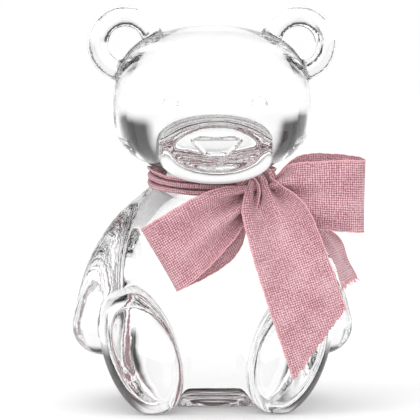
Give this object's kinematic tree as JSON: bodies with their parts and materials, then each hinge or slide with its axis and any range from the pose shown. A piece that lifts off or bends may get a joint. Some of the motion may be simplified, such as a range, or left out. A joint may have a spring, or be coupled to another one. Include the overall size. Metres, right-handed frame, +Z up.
{
  "type": "crystal glass bear figurine",
  "caption": "Sitting bear figurine in solid clear crystal glass, with a woven ribbon tied in a lopsided bow round its neck.",
  "frame": {"origin": "middle of the flat base, under the torso's centre line, on the surface that the bear sits on", "axes": "+Z up through the head, -Y out of the bear's front, +X towards the bow's big loop"},
  "size_m": [0.091, 0.0683, 0.1242],
  "materials": {
    "crystal": "clear, fire-polished",
    "ribbon": "open plain weave, pink with pale highlights"
  },
  "bodies": {
    "root": {"crystal_bear": "crystal", "ribbon_neck_band": "ribbon", "ribbon_knot": "ribbon", "ribbon_left_loop": "ribbon", "ribbon_right_loop": "ribbon", "ribbon_front_tail": "ribbon", "ribbon_back_tail": "ribbon"}
  },
  "joints": []
}
